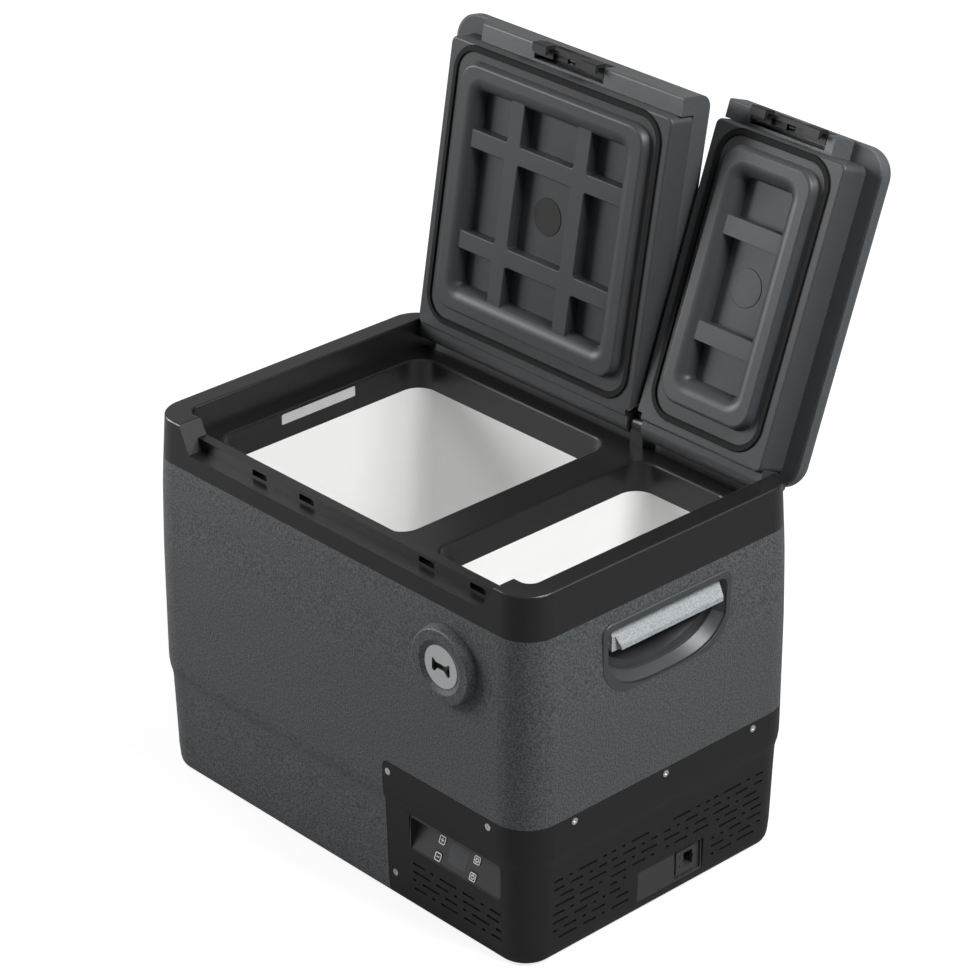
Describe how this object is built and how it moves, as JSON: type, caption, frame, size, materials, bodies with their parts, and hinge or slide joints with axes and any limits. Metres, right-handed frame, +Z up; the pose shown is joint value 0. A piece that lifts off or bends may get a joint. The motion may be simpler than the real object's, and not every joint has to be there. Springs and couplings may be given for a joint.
{
  "type": "compressor cooler fridge",
  "caption": "Portable compressor cooler with two wells under separate hinged lids, a key panel, carry handles and a bottle opener.",
  "frame": {"origin": "centre of the body's underside, on the plane the feet stand on", "axes": "+X to the right along the front, +Y from the front to the hinge side, +Z up"},
  "size_m": [0.6014, 0.5515, 0.7953],
  "materials": {
    "shell_grey": "hammered grain, satin",
    "rim_black": "satin",
    "liner_white": "gloss",
    "foam": "foam, cut",
    "cold_plate": "rolled",
    "steel": "brushed",
    "zinc": "galvanised",
    "black_plastic": "fine grain",
    "panel_black": "semi gloss",
    "lid_grey": "satin",
    "rubber": "matt",
    "window": "gloss",
    "board": "solder mask",
    "grip_silver": "hammered grain, satin",
    "compressor_black": "enamel",
    "copper": "drawn",
    "lens": "translucent",
    "key_black": "satin, symbol printed white",
    "spring_steel": "plain"
  },
  "bodies": {
    "cabinet": {"outer_shell": "shell_grey", "top_rim": "rim_black", "liner_large": "liner_white", "liner_small": "liner_white", "insulation_foam": "foam", "evaporator_large": "cold_plate", "evaporator_small": "cold_plate", "base_tray": "zinc", "rubber_feet": "rubber", "compartment_wall": "cold_plate", "vent_cover": "black_plastic", "vent_cover_screws": "steel", "control_panel": "panel_black", "display_window": "window", "control_board": "board", "dc_panel": "black_plastic", "dc_socket": "panel_black", "dc_contacts": "steel", "opener_boss": "shell_grey", "opener_plate": "steel", "handle_left": "shell_grey", "handle_right": "shell_grey", "grip_left": "grip_silver", "grip_right": "grip_silver", "compressor": "compressor_black", "compressor_mounts": "rubber", "condenser": "cold_plate", "fan_frame": "black_plastic", "drive_board": "board", "refrigerant_line": "copper", "led_lens": "lens", "led_board": "board", "hinge_pins": "steel"},
    "fan": {"fan_rotor": "black_plastic"},
    "plus_key": {"key_plus": "key_black"},
    "minus_key": {"key_minus": "key_black"},
    "set_key": {"key_set": "key_black"},
    "power_key": {"key_power": "key_black"},
    "large_lid": {"lid_cover_large": "shell_grey", "lid_liner_large": "lid_grey", "lid_foam_large": "foam", "lid_gasket_large": "rubber", "lid_disc_large": "lid_grey", "latch_pin_large": "steel", "latch_spring_large": "spring_steel"},
    "small_lid": {"lid_cover_small": "shell_grey", "lid_liner_small": "lid_grey", "lid_foam_small": "foam", "lid_gasket_small": "rubber", "lid_disc_small": "lid_grey", "latch_pin_small": "steel", "latch_spring_small": "spring_steel"},
    "large_latch": {"latch_large": "black_plastic"},
    "small_latch": {"latch_small": "black_plastic"}
  },
  "joints": [
    {"name": "large_lid_hinge", "type": "hinge", "parent": "cabinet", "child": "large_lid", "pos_m": [0, 0.185, 0.43], "axis": [-1, 0, 0], "range_deg": [-99.5, 10.5]},
    {"name": "small_lid_hinge", "type": "hinge", "parent": "cabinet", "child": "small_lid", "pos_m": [0, 0.185, 0.43], "axis": [-1, 0, 0], "range_deg": [-110, 0]},
    {"name": "large_latch_hinge", "type": "hinge", "parent": "large_lid", "child": "large_latch", "pos_m": [-0.095, 0.2459, 0.78177], "axis": [-1, 0, 0], "range_deg": [0, 24], "stiffness_Nm_per_rad": 0.3, "springref_deg": -8.59},
    {"name": "small_latch_hinge", "type": "hinge", "parent": "small_lid", "child": "small_latch", "pos_m": [0.167, 0.30898, 0.76479], "axis": [-1, 0, 0], "range_deg": [0, 24], "stiffness_Nm_per_rad": 0.3, "springref_deg": -8.59},
    {"name": "fan_spin", "type": "hinge", "parent": "cabinet", "child": "fan", "pos_m": [0.24, -0.092, 0.068], "axis": [1, 0, 0], "continuous": true},
    {"name": "plus_key_press", "type": "slide", "parent": "cabinet", "child": "plus_key", "axis": [0, 0.9348, -0.3551], "range_m": [0, 0.0006], "stiffness_N_per_m": 400, "springref_m": -0.0006},
    {"name": "minus_key_press", "type": "slide", "parent": "cabinet", "child": "minus_key", "axis": [0, 0.9348, -0.3551], "range_m": [0, 0.0006], "stiffness_N_per_m": 400, "springref_m": -0.0006},
    {"name": "set_key_press", "type": "slide", "parent": "cabinet", "child": "set_key", "axis": [0, 0.9348, -0.3551], "range_m": [0, 0.0006], "stiffness_N_per_m": 400, "springref_m": -0.0006},
    {"name": "power_key_press", "type": "slide", "parent": "cabinet", "child": "power_key", "axis": [0, 0.9348, -0.3551], "range_m": [0, 0.0006], "stiffness_N_per_m": 400, "springref_m": -0.0006}
  ]
}
